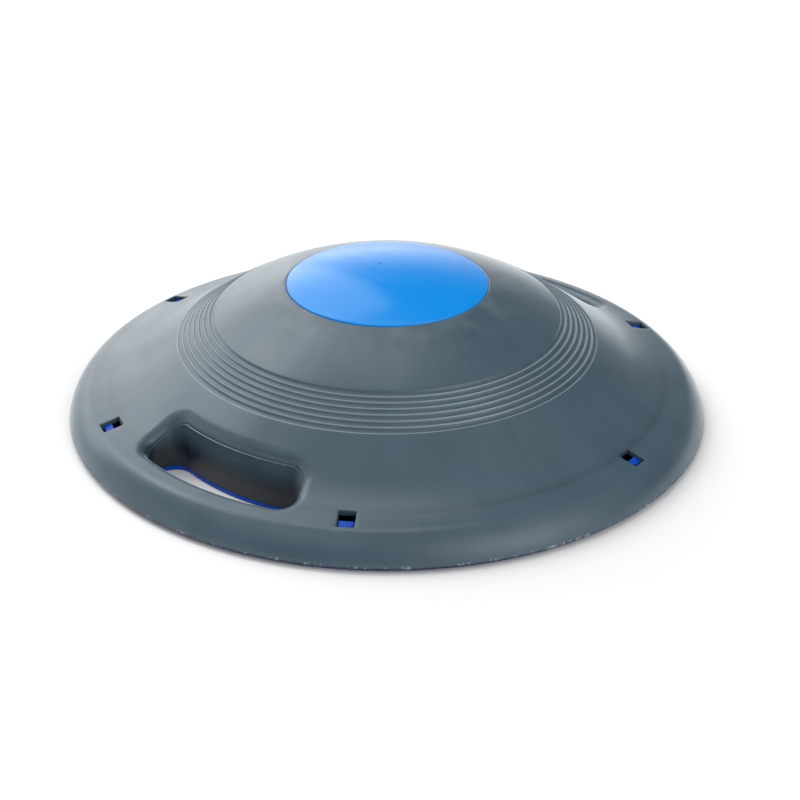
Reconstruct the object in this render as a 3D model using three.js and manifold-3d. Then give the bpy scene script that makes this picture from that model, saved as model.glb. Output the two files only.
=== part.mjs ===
// Balance dome trainer: a hollow rocking dome with two hand slots, closed by a flat standing deck that
// snaps in with six hooks. It lies deck down, dome up. Millimetres, +Z up, origin at the centre of the
// deck's standing face, hand slots on +X and -X.
import * as THREE from 'three';
import { mergeVertices } from 'three/addons/utils/BufferGeometryUtils.js';
import Module from 'manifold-3d';

const wasm = await Module();
wasm.setup();

// ---------------------------------------------------------------- driving dimensions

const GAP = 0.3; // clearance between pieces that touch
const ROUND_SEGMENTS = 60; // facets round the big lathe-turned bodies
const HUB_SEGMENTS = 24;
const PILLAR_SEGMENTS = 16;
const BOSS_SEGMENTS = 12;
const HOLE_SEGMENTS = 10;
const HEXAGON = 6;
const OVERLAP = 1; // how far a joined solid runs into its neighbour, or a cutter past a face

// Dome outline, from the apex outwards. A slope is how steeply the surface falls, in degrees.
const APEX_HEIGHT = 117;
const DOME_RADIUS = 269; // the spherical part that rocks on the floor
const DOME_SLOPE = 35;
const CONE_END_RADIUS = 190; // the straight flank ends here
const BRIM_FILLET = 105; // hollow curve from flank to brim
const BRIM_SLOPE = 10;
const NOSE_TOP_RADIUS = 9; // quick turn from brim to nose
const NOSE_BREAK_SLOPE = 33;
const NOSE_RADIUS = 32; // outer nose, down to the deck
const WALL = 4;
const HOLLOW_DETAIL = 0.5; // the unseen inner surface has fewer facets

// Ring flutes pressed into the dome
const FLUTE_COUNT = 7;
const FLUTE_START = 134;
const FLUTE_PITCH = 4.15;
const FLUTE_DEPTH = 1.1;
const FLUTE_LOWEST = 0.62; // where across a flute it is deepest

// Deck
const DECK_THICKNESS = 3.2;
const DECK_RADIUS = 246.4; // the edge sits back under the dome's foot
const DECK_EDGE_CHAMFER = 0.7;
const SPIGOT_RADIUS = 238; // ring that centres the deck in the dome
const SPIGOT_WIDTH = 2.4;
const SPIGOT_HEIGHT = 6;
const DECK_RIB_HEIGHT = 12;
const DECK_RIB_WIDTH = 2.4;
const DECK_RIB_INNER = 40;
const DECK_RIB_OUTER = 172;

// Hand slots: curved with the rim, with a rolled lip on the dome side
const SLOT_INNER_RADIUS = 184;
const SLOT_OUTER_RADIUS = 217.5;
const SLOT_HALF_ANGLE = 19.4;
const SLOT_CORNER = 13;
const SLOT_WALL = 5;
const LIP_RADIUS = 8;
const LIP_WIDENING = 1.1; // how much rounder the lip gets where the dome rises away from it
const LIP_TURN_STEPS = [0, 0.32, 0.62, 0.84]; // shares of the lip's turn
const LIP_RUN_OUT = 6;

// Snap windows in the brim, and the deck's hooks in them
const WINDOW_COUNT = 6;
const WINDOW_FIRST_ANGLE = 30;
const WINDOW_INNER_RADIUS = 216.4;
const WINDOW_OUTER_RADIUS = 231.6;
const WINDOW_WIDTH = 12.8;
const LEDGE_INNER_RADIUS = 225.9;
const LEDGE_TOP = 20;
const LEDGE_BOTTOM = 14;
const LEDGE_MARGIN = 3; // pocket wall beside and behind the window
const HOOK_WIDTH = 11.2;
const HOOK_INNER_RADIUS = 222.3;
const HOOK_BARB_RADIUS = 228.6;
const HOOK_TOP = 25.5;
const HOOK_NOSE_TOP = 23.4;
const HOOK_LEAD = 1; // slope at the top of the hook's inner side
const HOOK_LEAD_DROP = 0.6;

// Apex pad, let into the dome
const PAD_RADIUS = 77.7;
const PAD_PROUD = 0.6;
const PAD_THICKNESS = 4.8;
const PAD_EDGE_ROUND = 1.4;
const PAD_EDGE_START = 0.3; // the bevel that stands in for the round edge, as shares of the rounding
const PAD_EDGE_END = 1.5;
const RECESS_DEPTH = 4.5;
const RECESS_FLOOR = 4;
const RECESS_FLOOR_RADIUS = 84;

// Flange-head screws that hold the pad from inside
const SCREW_COUNT = 6;
const SCREW_CIRCLE = 55;
const SCREW_SHANK_RADIUS = 1.8;
const SCREW_HOLE_RADIUS = 2.3;
const SCREW_PILOT_RADIUS = 2.1;
const SCREW_HEAD_RADIUS = 4;
const SCREW_HEAD_HEIGHT = 3;
const SCREW_HEAD_CHAMFER = 0.6;
const SCREW_FLANGE_RADIUS = 6.5;
const SCREW_FLANGE_HEIGHT = 1.2;
const SCREW_SOCKET_RADIUS = 2;
const SCREW_SOCKET_DEPTH = 1.8;
const SCREW_TIP = 109;
const SCREW_POINT = 2;
const PILLAR_RADIUS = 8;
const PILLAR_BOTTOM = 98;
const PAD_BOSS_RADIUS = 4.5;
const PAD_BOSS_BOTTOM = 101.8;

// Ribs inside the dome, which carry the load from the deck
const WEB_COUNT = 12;
const WEB_THICKNESS = 3;
const WEB_OUTER = 172;
const HUB_RADIUS = 26;
const HUB_WALL = 4;

const SHELL_BOTTOM = DECK_THICKNESS + GAP;
const CLEAR_ABOVE = 160; // any height well above the dome
const CLEAR_BELOW = -20;

const material = {
  shell: { color: 0x5c6f7d, roughness: 0.5, metalness: 0 },
  blue: { color: 0x0a5fd0, roughness: 0.35, metalness: 0 },
  steel: { color: 0xb4b8bc, roughness: 0.3, metalness: 1 },
};

// ---------------------------------------------------------------- solids

const radians = THREE.MathUtils.degToRad;

/** A closed three.js geometry as a manifold solid. */
function solid(geometry) {
  const bare = geometry.clone();
  bare.deleteAttribute('normal');
  bare.deleteAttribute('uv');
  const merged = mergeVertices(bare, 1e-4);
  const index = merged.index.array;
  const triangles = [];
  for (let i = 0; i < index.length; i += 3) {
    const [a, b, c] = [index[i], index[i + 1], index[i + 2]];
    if (a !== b && b !== c && c !== a) triangles.push(a, b, c);
  }
  return new wasm.Manifold(new wasm.Mesh({
    numProp: 3,
    vertProperties: new Float32Array(merged.attributes.position.array),
    triVerts: new Uint32Array(triangles),
  }));
}

/** A manifold solid as a named mesh. */
function piece(name, body, look) {
  const mesh = body.getMesh();
  const geometry = new THREE.BufferGeometry();
  geometry.setAttribute('position', new THREE.BufferAttribute(new Float32Array(mesh.vertProperties), 3));
  geometry.setIndex(new THREE.BufferAttribute(new Uint32Array(mesh.triVerts), 1));
  const result = new THREE.Mesh(geometry, new THREE.MeshStandardMaterial(look));
  result.name = name;
  return result;
}

/** Turns a profile of [radius, height] points, anticlockwise, about the Z axis. */
function turned(profile, segments = ROUND_SEGMENTS) {
  const points = profile.map(([r, z]) => new THREE.Vector2(r, z));
  return solid(new THREE.LatheGeometry(points, segments).rotateX(Math.PI / 2));
}

/** An upright cylinder between two heights, standing at a radius and angle from the Z axis. */
function pillar(radius, bottom, top, distance, angle, segments = PILLAR_SEGMENTS) {
  const geometry = new THREE.CylinderGeometry(radius, radius, top - bottom, segments);
  geometry.rotateX(Math.PI / 2).translate(distance, 0, (bottom + top) / 2).rotateZ(radians(angle));
  return solid(geometry);
}

/** A block between two radii and two heights, centred on a radial line. */
function radialBlock(inner, outer, width, bottom, top, angle) {
  const geometry = new THREE.BoxGeometry(outer - inner, width, top - bottom);
  geometry.translate((inner + outer) / 2, 0, (bottom + top) / 2).rotateZ(radians(angle));
  return solid(geometry);
}

/** Joins solids into one. */
function joined(solids) {
  return solids.reduce((all, next) => all.add(next));
}

/** A solid skinned over rings that have the same number of [x, y, z] points, lowest ring first. */
function lofted(rings) {
  const size = rings[0].length;
  const index = [];
  for (let ring = 0; ring + 1 < rings.length; ring += 1) {
    for (let i = 0; i < size; i += 1) {
      const a = ring * size + i;
      const b = ring * size + ((i + 1) % size);
      index.push(a, b, b + size, a, b + size, a + size);
    }
  }
  const flat = rings[0].map(([x, y]) => new THREE.Vector2(x, y));
  const top = (rings.length - 1) * size;
  for (const [a, b, c] of THREE.ShapeUtils.triangulateShape(flat, [])) {
    index.push(a, c, b, top + a, top + b, top + c);
  }
  const geometry = new THREE.BufferGeometry();
  geometry.setAttribute('position', new THREE.Float32BufferAttribute(rings.flat(2), 3));
  geometry.setIndex(index);
  return solid(geometry);
}

// ---------------------------------------------------------------- dome outline

/**
 * The outline's stretches at a depth under the outer surface: arcs, and a straight one with radius 0.
 * Detail scales how many facets each arc has.
 */
function outlineSections(depth, detail) {
  const sections = [];
  let start = [0, APEX_HEIGHT - depth];
  const addArc = (radius, from, to, steps) => {
    const facets = Math.ceil(steps * detail);
    const section = { start, radius, from: radians(from), to: radians(to), steps: facets };
    sections.push(section);
    start = arcPoint(section, section.to);
  };
  addArc(DOME_RADIUS - depth, 0, DOME_SLOPE, 10);
  const slope = radians(DOME_SLOPE);
  const run = CONE_END_RADIUS - DOME_RADIUS * Math.sin(slope);
  sections.push({ start, radius: 0, from: slope, to: slope, run, steps: 1 });
  start = [start[0] + run, start[1] - run * Math.tan(slope)];
  addArc(-BRIM_FILLET - depth, DOME_SLOPE, BRIM_SLOPE, 5);
  addArc(NOSE_TOP_RADIUS - depth, BRIM_SLOPE, NOSE_BREAK_SLOPE, 2);
  const nose = NOSE_RADIUS - depth;
  const centreHeight = start[1] - nose * Math.cos(radians(NOSE_BREAK_SLOPE));
  const endSlope = Math.acos((SHELL_BOTTOM - centreHeight) / nose);
  addArc(nose, NOSE_BREAK_SLOPE, THREE.MathUtils.radToDeg(endSlope), 5);
  return sections;
}

/** The point of an arc section where it falls at a given slope. */
function arcPoint({ start, radius, from }, slope) {
  return [
    start[0] + radius * (Math.sin(slope) - Math.sin(from)),
    start[1] + radius * (Math.cos(slope) - Math.cos(from)),
  ];
}

/** Outline points from the apex to the rim's foot, at a depth under the outer surface. */
function outlinePoints(depth, detail = 1) {
  const points = [[0, APEX_HEIGHT - depth]];
  for (const section of outlineSections(depth, detail)) {
    for (let i = 1; i <= section.steps; i += 1) {
      const slope = THREE.MathUtils.lerp(section.from, section.to, i / section.steps);
      const drop = (section.run ?? 0) * Math.tan(section.from);
      points.push(section.radius ? arcPoint(section, slope)
        : [section.start[0] + section.run, section.start[1] - drop]);
    }
  }
  return points;
}

const outerSections = outlineSections(0, 1);

/** Height and slope of the outer surface at a radius. */
function surfaceAt(radius) {
  const section = outerSections.findLast(({ start }) => start[0] <= radius);
  if (!section.radius) {
    const height = section.start[1] - (radius - section.start[0]) * Math.tan(section.from);
    return { height, slope: section.from };
  }
  const sine = Math.sin(section.from) + (radius - section.start[0]) / section.radius;
  const slope = Math.asin(Math.min(sine, 1));
  return { height: arcPoint(section, slope)[1], slope };
}

/** Outer outline with the ring flutes pressed in. */
function flutedOutline() {
  const fluteEnd = FLUTE_START + FLUTE_COUNT * FLUTE_PITCH;
  const flutes = [[FLUTE_START, surfaceAt(FLUTE_START).height]];
  for (let i = 0; i < FLUTE_COUNT; i += 1) {
    const lowest = FLUTE_START + (i + FLUTE_LOWEST) * FLUTE_PITCH;
    const crest = FLUTE_START + (i + 1) * FLUTE_PITCH;
    const { height, slope } = surfaceAt(lowest);
    flutes.push([lowest - FLUTE_DEPTH * Math.sin(slope), height - FLUTE_DEPTH * Math.cos(slope)]);
    flutes.push([crest, surfaceAt(crest).height]);
  }
  const plain = outlinePoints(0);
  const inside = plain.filter(([r]) => r < FLUTE_START - FLUTE_PITCH);
  const outside = plain.filter(([r]) => r > fluteEnd + FLUTE_PITCH);
  return [...inside, ...flutes, ...outside];
}

/** Closes an outline from apex to foot along the axis, anticlockwise. */
function closedOutline(points, bottom) {
  const [footRadius] = points.at(-1);
  return [[0, bottom], [footRadius, bottom], ...points.toReversed()];
}

// ---------------------------------------------------------------- hand slots

/** The slot's plan outline on +X, grown outwards, anticlockwise: points with their outward directions. */
function slotOutline(grow) {
  const half = radians(SLOT_HALF_ANGLE);
  const outerCentre = SLOT_OUTER_RADIUS - SLOT_CORNER;
  const innerCentre = SLOT_INNER_RADIUS + SLOT_CORNER;
  const outerAngle = half - Math.asin(SLOT_CORNER / outerCentre);
  const innerAngle = half - Math.asin(SLOT_CORNER / innerCentre);
  const endNormal = half + Math.PI / 2;
  const quarter = Math.PI / 2;
  const points = [];
  const addArc = (centreRadius, centreAngle, radius, from, to, steps, outward = 1) => {
    for (let i = 0; i < steps; i += 1) {
      const angle = THREE.MathUtils.lerp(from, to, i / steps);
      const normal = [outward * Math.cos(angle), outward * Math.sin(angle)];
      points.push({
        x: centreRadius * Math.cos(centreAngle) + radius * Math.cos(angle),
        y: centreRadius * Math.sin(centreAngle) + radius * Math.sin(angle),
        normal,
      });
    }
  };
  const corner = SLOT_CORNER + grow;
  addArc(0, 0, SLOT_OUTER_RADIUS + grow, -outerAngle, outerAngle, 8);
  addArc(outerCentre, outerAngle, corner, outerAngle, endNormal, 4);
  addArc(innerCentre, innerAngle, corner, endNormal, innerAngle + 2 * quarter, 4);
  addArc(0, 0, SLOT_INNER_RADIUS - grow, innerAngle, -innerAngle, 8, -1);
  addArc(innerCentre, -innerAngle, corner, 2 * quarter - innerAngle, 4 * quarter - endNormal, 4);
  addArc(outerCentre, -outerAngle, corner, 4 * quarter - endNormal, 4 * quarter - outerAngle, 4);
  return points;
}

/** An upright solid on the slot's outline. */
function slotPrism(grow, bottom, top) {
  const outline = slotOutline(grow);
  return lofted([bottom, top].map((z) => outline.map(({ x, y }) => [x, y, z])));
}

/** What the slot and its rolled lip take out of the dome. */
function slotCutter() {
  const wall = slotOutline(0);
  const lips = wall.map(({ x, y, normal }) => {
    const radius = Math.hypot(x, y);
    const { height, slope } = surfaceAt(radius);
    const away = (normal[0] * x + normal[1] * y) / radius;
    const rise = Math.atan(-Math.tan(slope) * away);
    const lip = LIP_RADIUS * (1 + LIP_WIDENING * Math.max(0, Math.sin(rise)));
    const turn = Math.PI / 2 - rise;
    return { lip, turn, tangent: height - lip * Math.tan(turn / 2) };
  });
  const ring = (share, runOut) => wall.map(({ x, y, normal }, i) => {
    const { lip, turn, tangent } = lips[i];
    const angle = share * turn;
    const out = lip * (1 - Math.cos(angle)) + runOut * Math.sin(angle);
    const height = tangent + lip * Math.sin(angle) + runOut * Math.cos(angle);
    return [x + out * normal[0], y + out * normal[1], height];
  });
  const lastShare = LIP_TURN_STEPS.at(-1);
  const runOut = ring(lastShare, LIP_RUN_OUT);
  return lofted([
    wall.map(({ x, y }) => [x, y, CLEAR_BELOW]),
    ...LIP_TURN_STEPS.map((share) => ring(share, 0)),
    runOut,
    runOut.map(([x, y]) => [x, y, CLEAR_ABOVE]),
  ]);
}

/** The same solid on the +X and -X sides. */
function bothSides(body) {
  return body.add(body.rotate([0, 0, 180]));
}

// ---------------------------------------------------------------- dome shell

/** Angles of pieces spaced evenly round the axis. */
function evenly(count, first) {
  return Array.from({ length: count }, (_, i) => first + (i * 360) / count);
}

const windowAngles = evenly(WINDOW_COUNT, WINDOW_FIRST_ANGLE);
const screwAngles = evenly(SCREW_COUNT, 0);
const webAngles = evenly(WEB_COUNT, 180 / WEB_COUNT);
const deckRibAngles = evenly(WEB_COUNT, 360 / WEB_COUNT);

/** The same kind of solid at each angle. */
function atEach(angles, make) {
  return angles.map((angle) => make(angle));
}

/** Upright round bars on the screw circle. */
function atScrews(radius, bottom, top, segments) {
  return atEach(screwAngles, (angle) => pillar(radius, bottom, top, SCREW_CIRCLE, angle, segments));
}

/** Blocks at the windows, between two radii. */
function atWindows(inner, outer, width, bottom, top) {
  return atEach(windowAngles, (angle) => radialBlock(inner, outer, width, bottom, top, angle));
}

/** A round cap of the dome between two depths under its surface, out to a radius. */
function domeCap(upperDepth, lowerDepth, radius, steps = 4) {
  const arc = (depth) => Array.from({ length: steps + 1 }, (_, i) => {
    const r = (radius * i) / steps;
    return [r, APEX_HEIGHT - DOME_RADIUS + Math.sqrt((DOME_RADIUS - depth) ** 2 - r * r)];
  });
  return turned([...arc(lowerDepth), ...arc(upperDepth).toReversed()]);
}

function domeShell() {
  const outer = turned(closedOutline(flutedOutline(), SHELL_BOTTOM));
  const hollow = turned(closedOutline(outlinePoints(WALL, HOLLOW_DETAIL), CLEAR_BELOW));
  const web = (angle) => (
    radialBlock(HUB_RADIUS - OVERLAP, WEB_OUTER, WEB_THICKNESS, SHELL_BOTTOM, APEX_HEIGHT, angle)
  );
  const ledgeWidth = WINDOW_WIDTH + 2 * LEDGE_MARGIN;
  const ledgeOuter = WINDOW_OUTER_RADIUS + LEDGE_MARGIN;
  const inside = [
    bothSides(slotPrism(SLOT_WALL, SHELL_BOTTOM, CLEAR_ABOVE)),
    domeCap(WALL / 2, RECESS_DEPTH + RECESS_FLOOR, RECESS_FLOOR_RADIUS),
    pillar(HUB_RADIUS, SHELL_BOTTOM, APEX_HEIGHT - WALL, 0, 0, HUB_SEGMENTS),
    ...atEach(webAngles, web),
    ...atScrews(PILLAR_RADIUS, PILLAR_BOTTOM, APEX_HEIGHT - RECESS_DEPTH, PILLAR_SEGMENTS),
    ...atWindows(LEDGE_INNER_RADIUS, ledgeOuter, ledgeWidth, LEDGE_BOTTOM, CLEAR_ABOVE),
  ];
  const recessTop = APEX_HEIGHT + PAD_PROUD;
  const openings = [
    bothSides(slotCutter()),
    domeCap(-PAD_PROUD - 2 * OVERLAP, RECESS_DEPTH, PAD_RADIUS + GAP),
    pillar(HUB_RADIUS - HUB_WALL, CLEAR_BELOW, APEX_HEIGHT - 3 * WALL, 0, 0, HUB_SEGMENTS),
    ...atScrews(SCREW_HOLE_RADIUS, CLEAR_BELOW, recessTop, HOLE_SEGMENTS),
    ...atScrews(PAD_BOSS_RADIUS + GAP, PAD_BOSS_BOTTOM - GAP, recessTop, BOSS_SEGMENTS),
    ...atWindows(WINDOW_INNER_RADIUS, WINDOW_OUTER_RADIUS, WINDOW_WIDTH, LEDGE_TOP, CLEAR_ABOVE),
    ...atWindows(WINDOW_INNER_RADIUS, LEDGE_INNER_RADIUS, WINDOW_WIDTH, CLEAR_BELOW, CLEAR_ABOVE),
  ];
  const walls = outer.subtract(hollow).add(joined(inside).intersect(outer));
  return walls.subtract(joined(openings));
}

// ---------------------------------------------------------------- deck

/** One snap hook at an angle: a post with a barb that sits on the window's ledge. */
function hook(angle) {
  const root = DECK_THICKNESS / 2;
  const side = new THREE.Shape([
    new THREE.Vector2(HOOK_INNER_RADIUS, root),
    new THREE.Vector2(LEDGE_INNER_RADIUS - GAP, root),
    new THREE.Vector2(LEDGE_INNER_RADIUS - GAP, LEDGE_TOP + GAP),
    new THREE.Vector2(HOOK_BARB_RADIUS, LEDGE_TOP + GAP),
    new THREE.Vector2(HOOK_BARB_RADIUS, HOOK_NOSE_TOP),
    new THREE.Vector2(HOOK_INNER_RADIUS + HOOK_LEAD, HOOK_TOP),
    new THREE.Vector2(HOOK_INNER_RADIUS, HOOK_TOP - HOOK_LEAD_DROP),
  ]);
  const geometry = new THREE.ExtrudeGeometry(side, { depth: HOOK_WIDTH, bevelEnabled: false });
  geometry.rotateX(Math.PI / 2).translate(0, HOOK_WIDTH / 2, 0).rotateZ(radians(angle));
  return solid(geometry);
}

function deck() {
  const plate = turned([
    [0, 0],
    [DECK_RADIUS - DECK_EDGE_CHAMFER, 0],
    [DECK_RADIUS, DECK_EDGE_CHAMFER],
    [DECK_RADIUS, DECK_THICKNESS],
    [0, DECK_THICKNESS],
  ]);
  const root = DECK_THICKNESS / 2;
  const spigot = turned([
    [SPIGOT_RADIUS, root],
    [SPIGOT_RADIUS + SPIGOT_WIDTH, root],
    [SPIGOT_RADIUS + SPIGOT_WIDTH, DECK_THICKNESS + SPIGOT_HEIGHT],
    [SPIGOT_RADIUS, DECK_THICKNESS + SPIGOT_HEIGHT],
    [SPIGOT_RADIUS, root],
  ]);
  const ribTop = DECK_THICKNESS + DECK_RIB_HEIGHT;
  const rib = (angle) => radialBlock(DECK_RIB_INNER, DECK_RIB_OUTER, DECK_RIB_WIDTH, root, ribTop, angle);
  const body = joined([plate, spigot, ...atEach(deckRibAngles, rib), ...atEach(windowAngles, hook)]);
  return body.subtract(bothSides(slotPrism(-GAP, CLEAR_BELOW, CLEAR_ABOVE)));
}

// ---------------------------------------------------------------- apex pad and its screws

function apexPad() {
  const disc = domeCap(-PAD_PROUD, PAD_THICKNESS - PAD_PROUD, PAD_RADIUS);
  const edge = surfaceAt(PAD_RADIUS).height + PAD_PROUD;
  const inner = PAD_RADIUS - PAD_EDGE_ROUND;
  const outer = PAD_RADIUS + PAD_EDGE_ROUND;
  const clear = edge + 2 * PAD_EDGE_ROUND;
  const bevel = turned([
    [inner, clear],
    [inner, edge + PAD_EDGE_START * PAD_EDGE_ROUND],
    [outer, edge - PAD_EDGE_END * PAD_EDGE_ROUND],
    [outer, clear],
    [inner, clear],
  ]);
  const bossTop = surfaceAt(SCREW_CIRCLE).height - RECESS_DEPTH / 2;
  const bosses = atScrews(PAD_BOSS_RADIUS, PAD_BOSS_BOTTOM, bossTop, BOSS_SEGMENTS);
  const pilots = atScrews(SCREW_PILOT_RADIUS, CLEAR_BELOW, SCREW_TIP + GAP, HOLE_SEGMENTS);
  return joined([disc, ...bosses]).subtract(joined([bevel, ...pilots]));
}

function screw(angle) {
  const seat = PILLAR_BOTTOM - GAP;
  const headTop = seat - SCREW_FLANGE_HEIGHT;
  const headBottom = headTop - SCREW_HEAD_HEIGHT;
  const body = turned([
    [0, headBottom],
    [SCREW_HEAD_RADIUS - SCREW_HEAD_CHAMFER, headBottom],
    [SCREW_HEAD_RADIUS, headBottom + SCREW_HEAD_CHAMFER],
    [SCREW_HEAD_RADIUS, headTop],
    [SCREW_FLANGE_RADIUS, headTop],
    [SCREW_FLANGE_RADIUS, seat],
    [SCREW_SHANK_RADIUS, seat],
    [SCREW_SHANK_RADIUS, SCREW_TIP - SCREW_POINT],
    [0, SCREW_TIP],
  ], BOSS_SEGMENTS);
  const socketTop = headBottom + SCREW_SOCKET_DEPTH;
  const socket = pillar(SCREW_SOCKET_RADIUS, headBottom - OVERLAP, socketTop, 0, 0, HEXAGON);
  return body.subtract(socket).translate([SCREW_CIRCLE, 0, 0]).rotate([0, 0, angle]);
}

// ---------------------------------------------------------------- assembly

const trainer = new THREE.Group();
trainer.add(piece('dome_shell', domeShell(), material.shell));
trainer.add(piece('standing_deck', deck(), material.blue));
trainer.add(piece('apex_pad', apexPad(), material.blue));
screwAngles.forEach((angle, i) => {
  trainer.add(piece(`pad_screw_${i + 1}`, screw(angle), material.steel));
});

export default trainer;
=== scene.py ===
"""Looks of the balance dome trainer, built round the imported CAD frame.

Geometry is worked out in millimetres in the frame's axes: +Z up, the standing face at height 0 and the
two hand slots on +X and -X. It becomes metres when a piece is made.
"""

import math

import bmesh
import bpy
import numpy as np
from mathutils import Matrix, Vector
from mathutils.geometry import delaunay_2d_cdt
from mathutils.kdtree import KDTree


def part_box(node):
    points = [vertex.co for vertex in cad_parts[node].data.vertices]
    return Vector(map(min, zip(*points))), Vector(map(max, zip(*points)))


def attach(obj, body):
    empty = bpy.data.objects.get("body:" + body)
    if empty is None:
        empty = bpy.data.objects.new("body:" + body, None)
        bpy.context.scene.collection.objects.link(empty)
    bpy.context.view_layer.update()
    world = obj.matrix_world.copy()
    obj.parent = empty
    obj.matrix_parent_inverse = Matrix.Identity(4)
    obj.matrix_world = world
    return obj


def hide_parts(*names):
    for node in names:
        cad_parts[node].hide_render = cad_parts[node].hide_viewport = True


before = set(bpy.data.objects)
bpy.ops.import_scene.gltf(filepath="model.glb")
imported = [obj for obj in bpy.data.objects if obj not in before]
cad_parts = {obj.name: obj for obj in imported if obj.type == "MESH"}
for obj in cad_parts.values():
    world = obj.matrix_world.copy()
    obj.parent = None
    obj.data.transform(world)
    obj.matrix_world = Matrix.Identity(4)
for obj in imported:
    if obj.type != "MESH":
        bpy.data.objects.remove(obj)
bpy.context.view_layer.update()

MM = 0.001
RIGHT_ANGLE = math.pi / 2
FULL_TURN = 2 * math.pi


def node_box(node):
    """Lowest and highest corner of a CAD node, in millimetres."""
    low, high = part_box(node)
    return low / MM, high / MM


shell_low, shell_high = node_box("dome_shell")
_, deck_high = node_box("standing_deck")
_, pad_high = node_box("apex_pad")

# ---------------------------------------------------------------- driving sizes, millimetres and degrees

PAD_PROUD = 0.6
APEX_HEIGHT = pad_high.z - PAD_PROUD
SHELL_BOTTOM = shell_low.z
DECK_RADIUS = deck_high.x
PAD_RADIUS = pad_high.x
GAP = 0.3

# Dome outline from the apex outwards; a slope is how steeply the surface falls
DOME_RADIUS = 269.0
DOME_SLOPE = 35.0
CONE_END_RADIUS = 190.0
BRIM_FILLET = 105.0
BRIM_SLOPE = 10.0
NOSE_TOP_RADIUS = 9.0
NOSE_BREAK_SLOPE = 33.0
NOSE_RADIUS = 32.0
FOOT_ROUND = 0.6
WALL = 4.0

FLUTE_COUNT = 7
FLUTE_START = 134.0
FLUTE_PITCH = 4.15
FLUTE_DEPTH = 1.25
FLUTE_LOWEST = 0.58
FLUTE_CREST_ROUND = 0.28

RECESS_RADIUS = PAD_RADIUS + GAP
RECESS_DEPTH = 4.5
RECESS_FLOOR = 4.0
RECESS_FLOOR_RADIUS = 84.0
RECESS_EDGE_ROUND = 0.9
RECESS_EDGE_SINK = 1.3
RECESS_EDGE_LEAN = 0.29

# The dome's skin: turned inside and outside this belt, tiled with triangles in it round the openings
BELT_INNER = 168.0
BELT_OUTER = 236.0
BELT_TILE = 2.6
SEGMENTS = 480

SLOT_INNER_RADIUS = 184.0
SLOT_OUTER_RADIUS = 217.5
SLOT_HALF_ANGLE = math.radians(19.4)
SLOT_CORNER = 13.0
SLOT_WALL = 5.0
SLOT_STEP = 1.3
LIP_RADIUS = 8.0
LIP_WIDENING = 1.1
LIP_STEPS = 14
LIP_REFINEMENTS = 30
SEAM_PROUD = 0.7
SEAM_HEIGHT = 0.9

WINDOW_COUNT = 6
WINDOW_FIRST_ANGLE = math.radians(30)
WINDOW_INNER_RADIUS = 216.4
WINDOW_OUTER_RADIUS = 231.6
WINDOW_WIDTH = 12.8
WINDOW_CORNER = 0.8
WINDOW_EDGE_ROUND = 0.7
WINDOW_STEP = 0.9
LEDGE_INNER_RADIUS = 225.9
LEDGE_TOP = 20.0
LEDGE_BOTTOM = 14.0
LEDGE_MARGIN = 3.0

HOOK_WIDTH = 11.2
HOOK_INNER_RADIUS = 222.3
HOOK_BARB_RADIUS = 228.6
HOOK_TOP = 25.5
HOOK_NOSE_TOP = 23.4
HOOK_TIP_RUN = 1.0
HOOK_TIP_DROP = 0.6
HOOK_EDGE_ROUND = 0.35

DECK_THICKNESS = SHELL_BOTTOM - GAP
DECK_EDGE_ROUND = 2.2
SPIGOT_RADIUS = 238.0
SPIGOT_WIDTH = 2.4
SPIGOT_HEIGHT = 6.0
RIB_HEIGHT = 12.0
RIB_WIDTH = 2.4
RIB_INNER = 40.0
RIB_OUTER = 172.0
GRIP_FIRST_RADIUS = 58.0
GRIP_PITCH = 12.0
GRIP_COUNT = 10
GRIP_WIDTH = 2.4
GRIP_DEPTH = 0.5

PAD_THICKNESS = 4.8
PAD_EDGE_ROUND = 1.2
GATE_RADIUS = 0.95
GATE_DEPTH = 1.2
GATE_PLACE = (4.1, 10.3)

SCREW_COUNT = 6
SCREW_CIRCLE = 55.0
SCREW_HOLE_RADIUS = 2.3
PILOT_RADIUS = 2.1
PILLAR_RADIUS = 8.0
PILLAR_BOTTOM = 98.0
PAD_BOSS_RADIUS = 4.5
PAD_BOSS_BOTTOM = 101.8
THREAD_RADIUS = 1.8
THREAD_PITCH = 1.2
THREAD_DEPTH = 0.35
THREAD_ROOT_WIDTH = 0.5
THREAD_FLANK = 0.25
HEAD_RADIUS = 4.0
HEAD_HEIGHT = 3.0
HEAD_ROUND = 0.6
FLANGE_RADIUS = 6.5
FLANGE_HEIGHT = 1.2
FLANGE_BEVEL_WIDTH = 0.2
FLANGE_BEVEL_FOOT = 0.15
FLANGE_BEVEL_TOP = 0.5
SOCKET_RADIUS = 2.0
SOCKET_DEPTH = 1.8

WEB_COUNT = 12
WEB_THICKNESS = 3.0
WEB_OUTER = 172.0
HUB_RADIUS = 26.0
HUB_WALL = 4.0

FAR_UP = 160.0
FAR_DOWN = -20.0
SHARP_ANGLE = math.radians(40)


def evenly(count, first=0.0):
    """Angles of pieces spaced evenly round the Z axis."""
    return [first + FULL_TURN * i / count for i in range(count)]


WINDOW_ANGLES = evenly(WINDOW_COUNT, WINDOW_FIRST_ANGLE)
SCREW_ANGLES = evenly(SCREW_COUNT)
WEB_ANGLES = evenly(WEB_COUNT, math.pi / WEB_COUNT)

# ---------------------------------------------------------------- meshes


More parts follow.
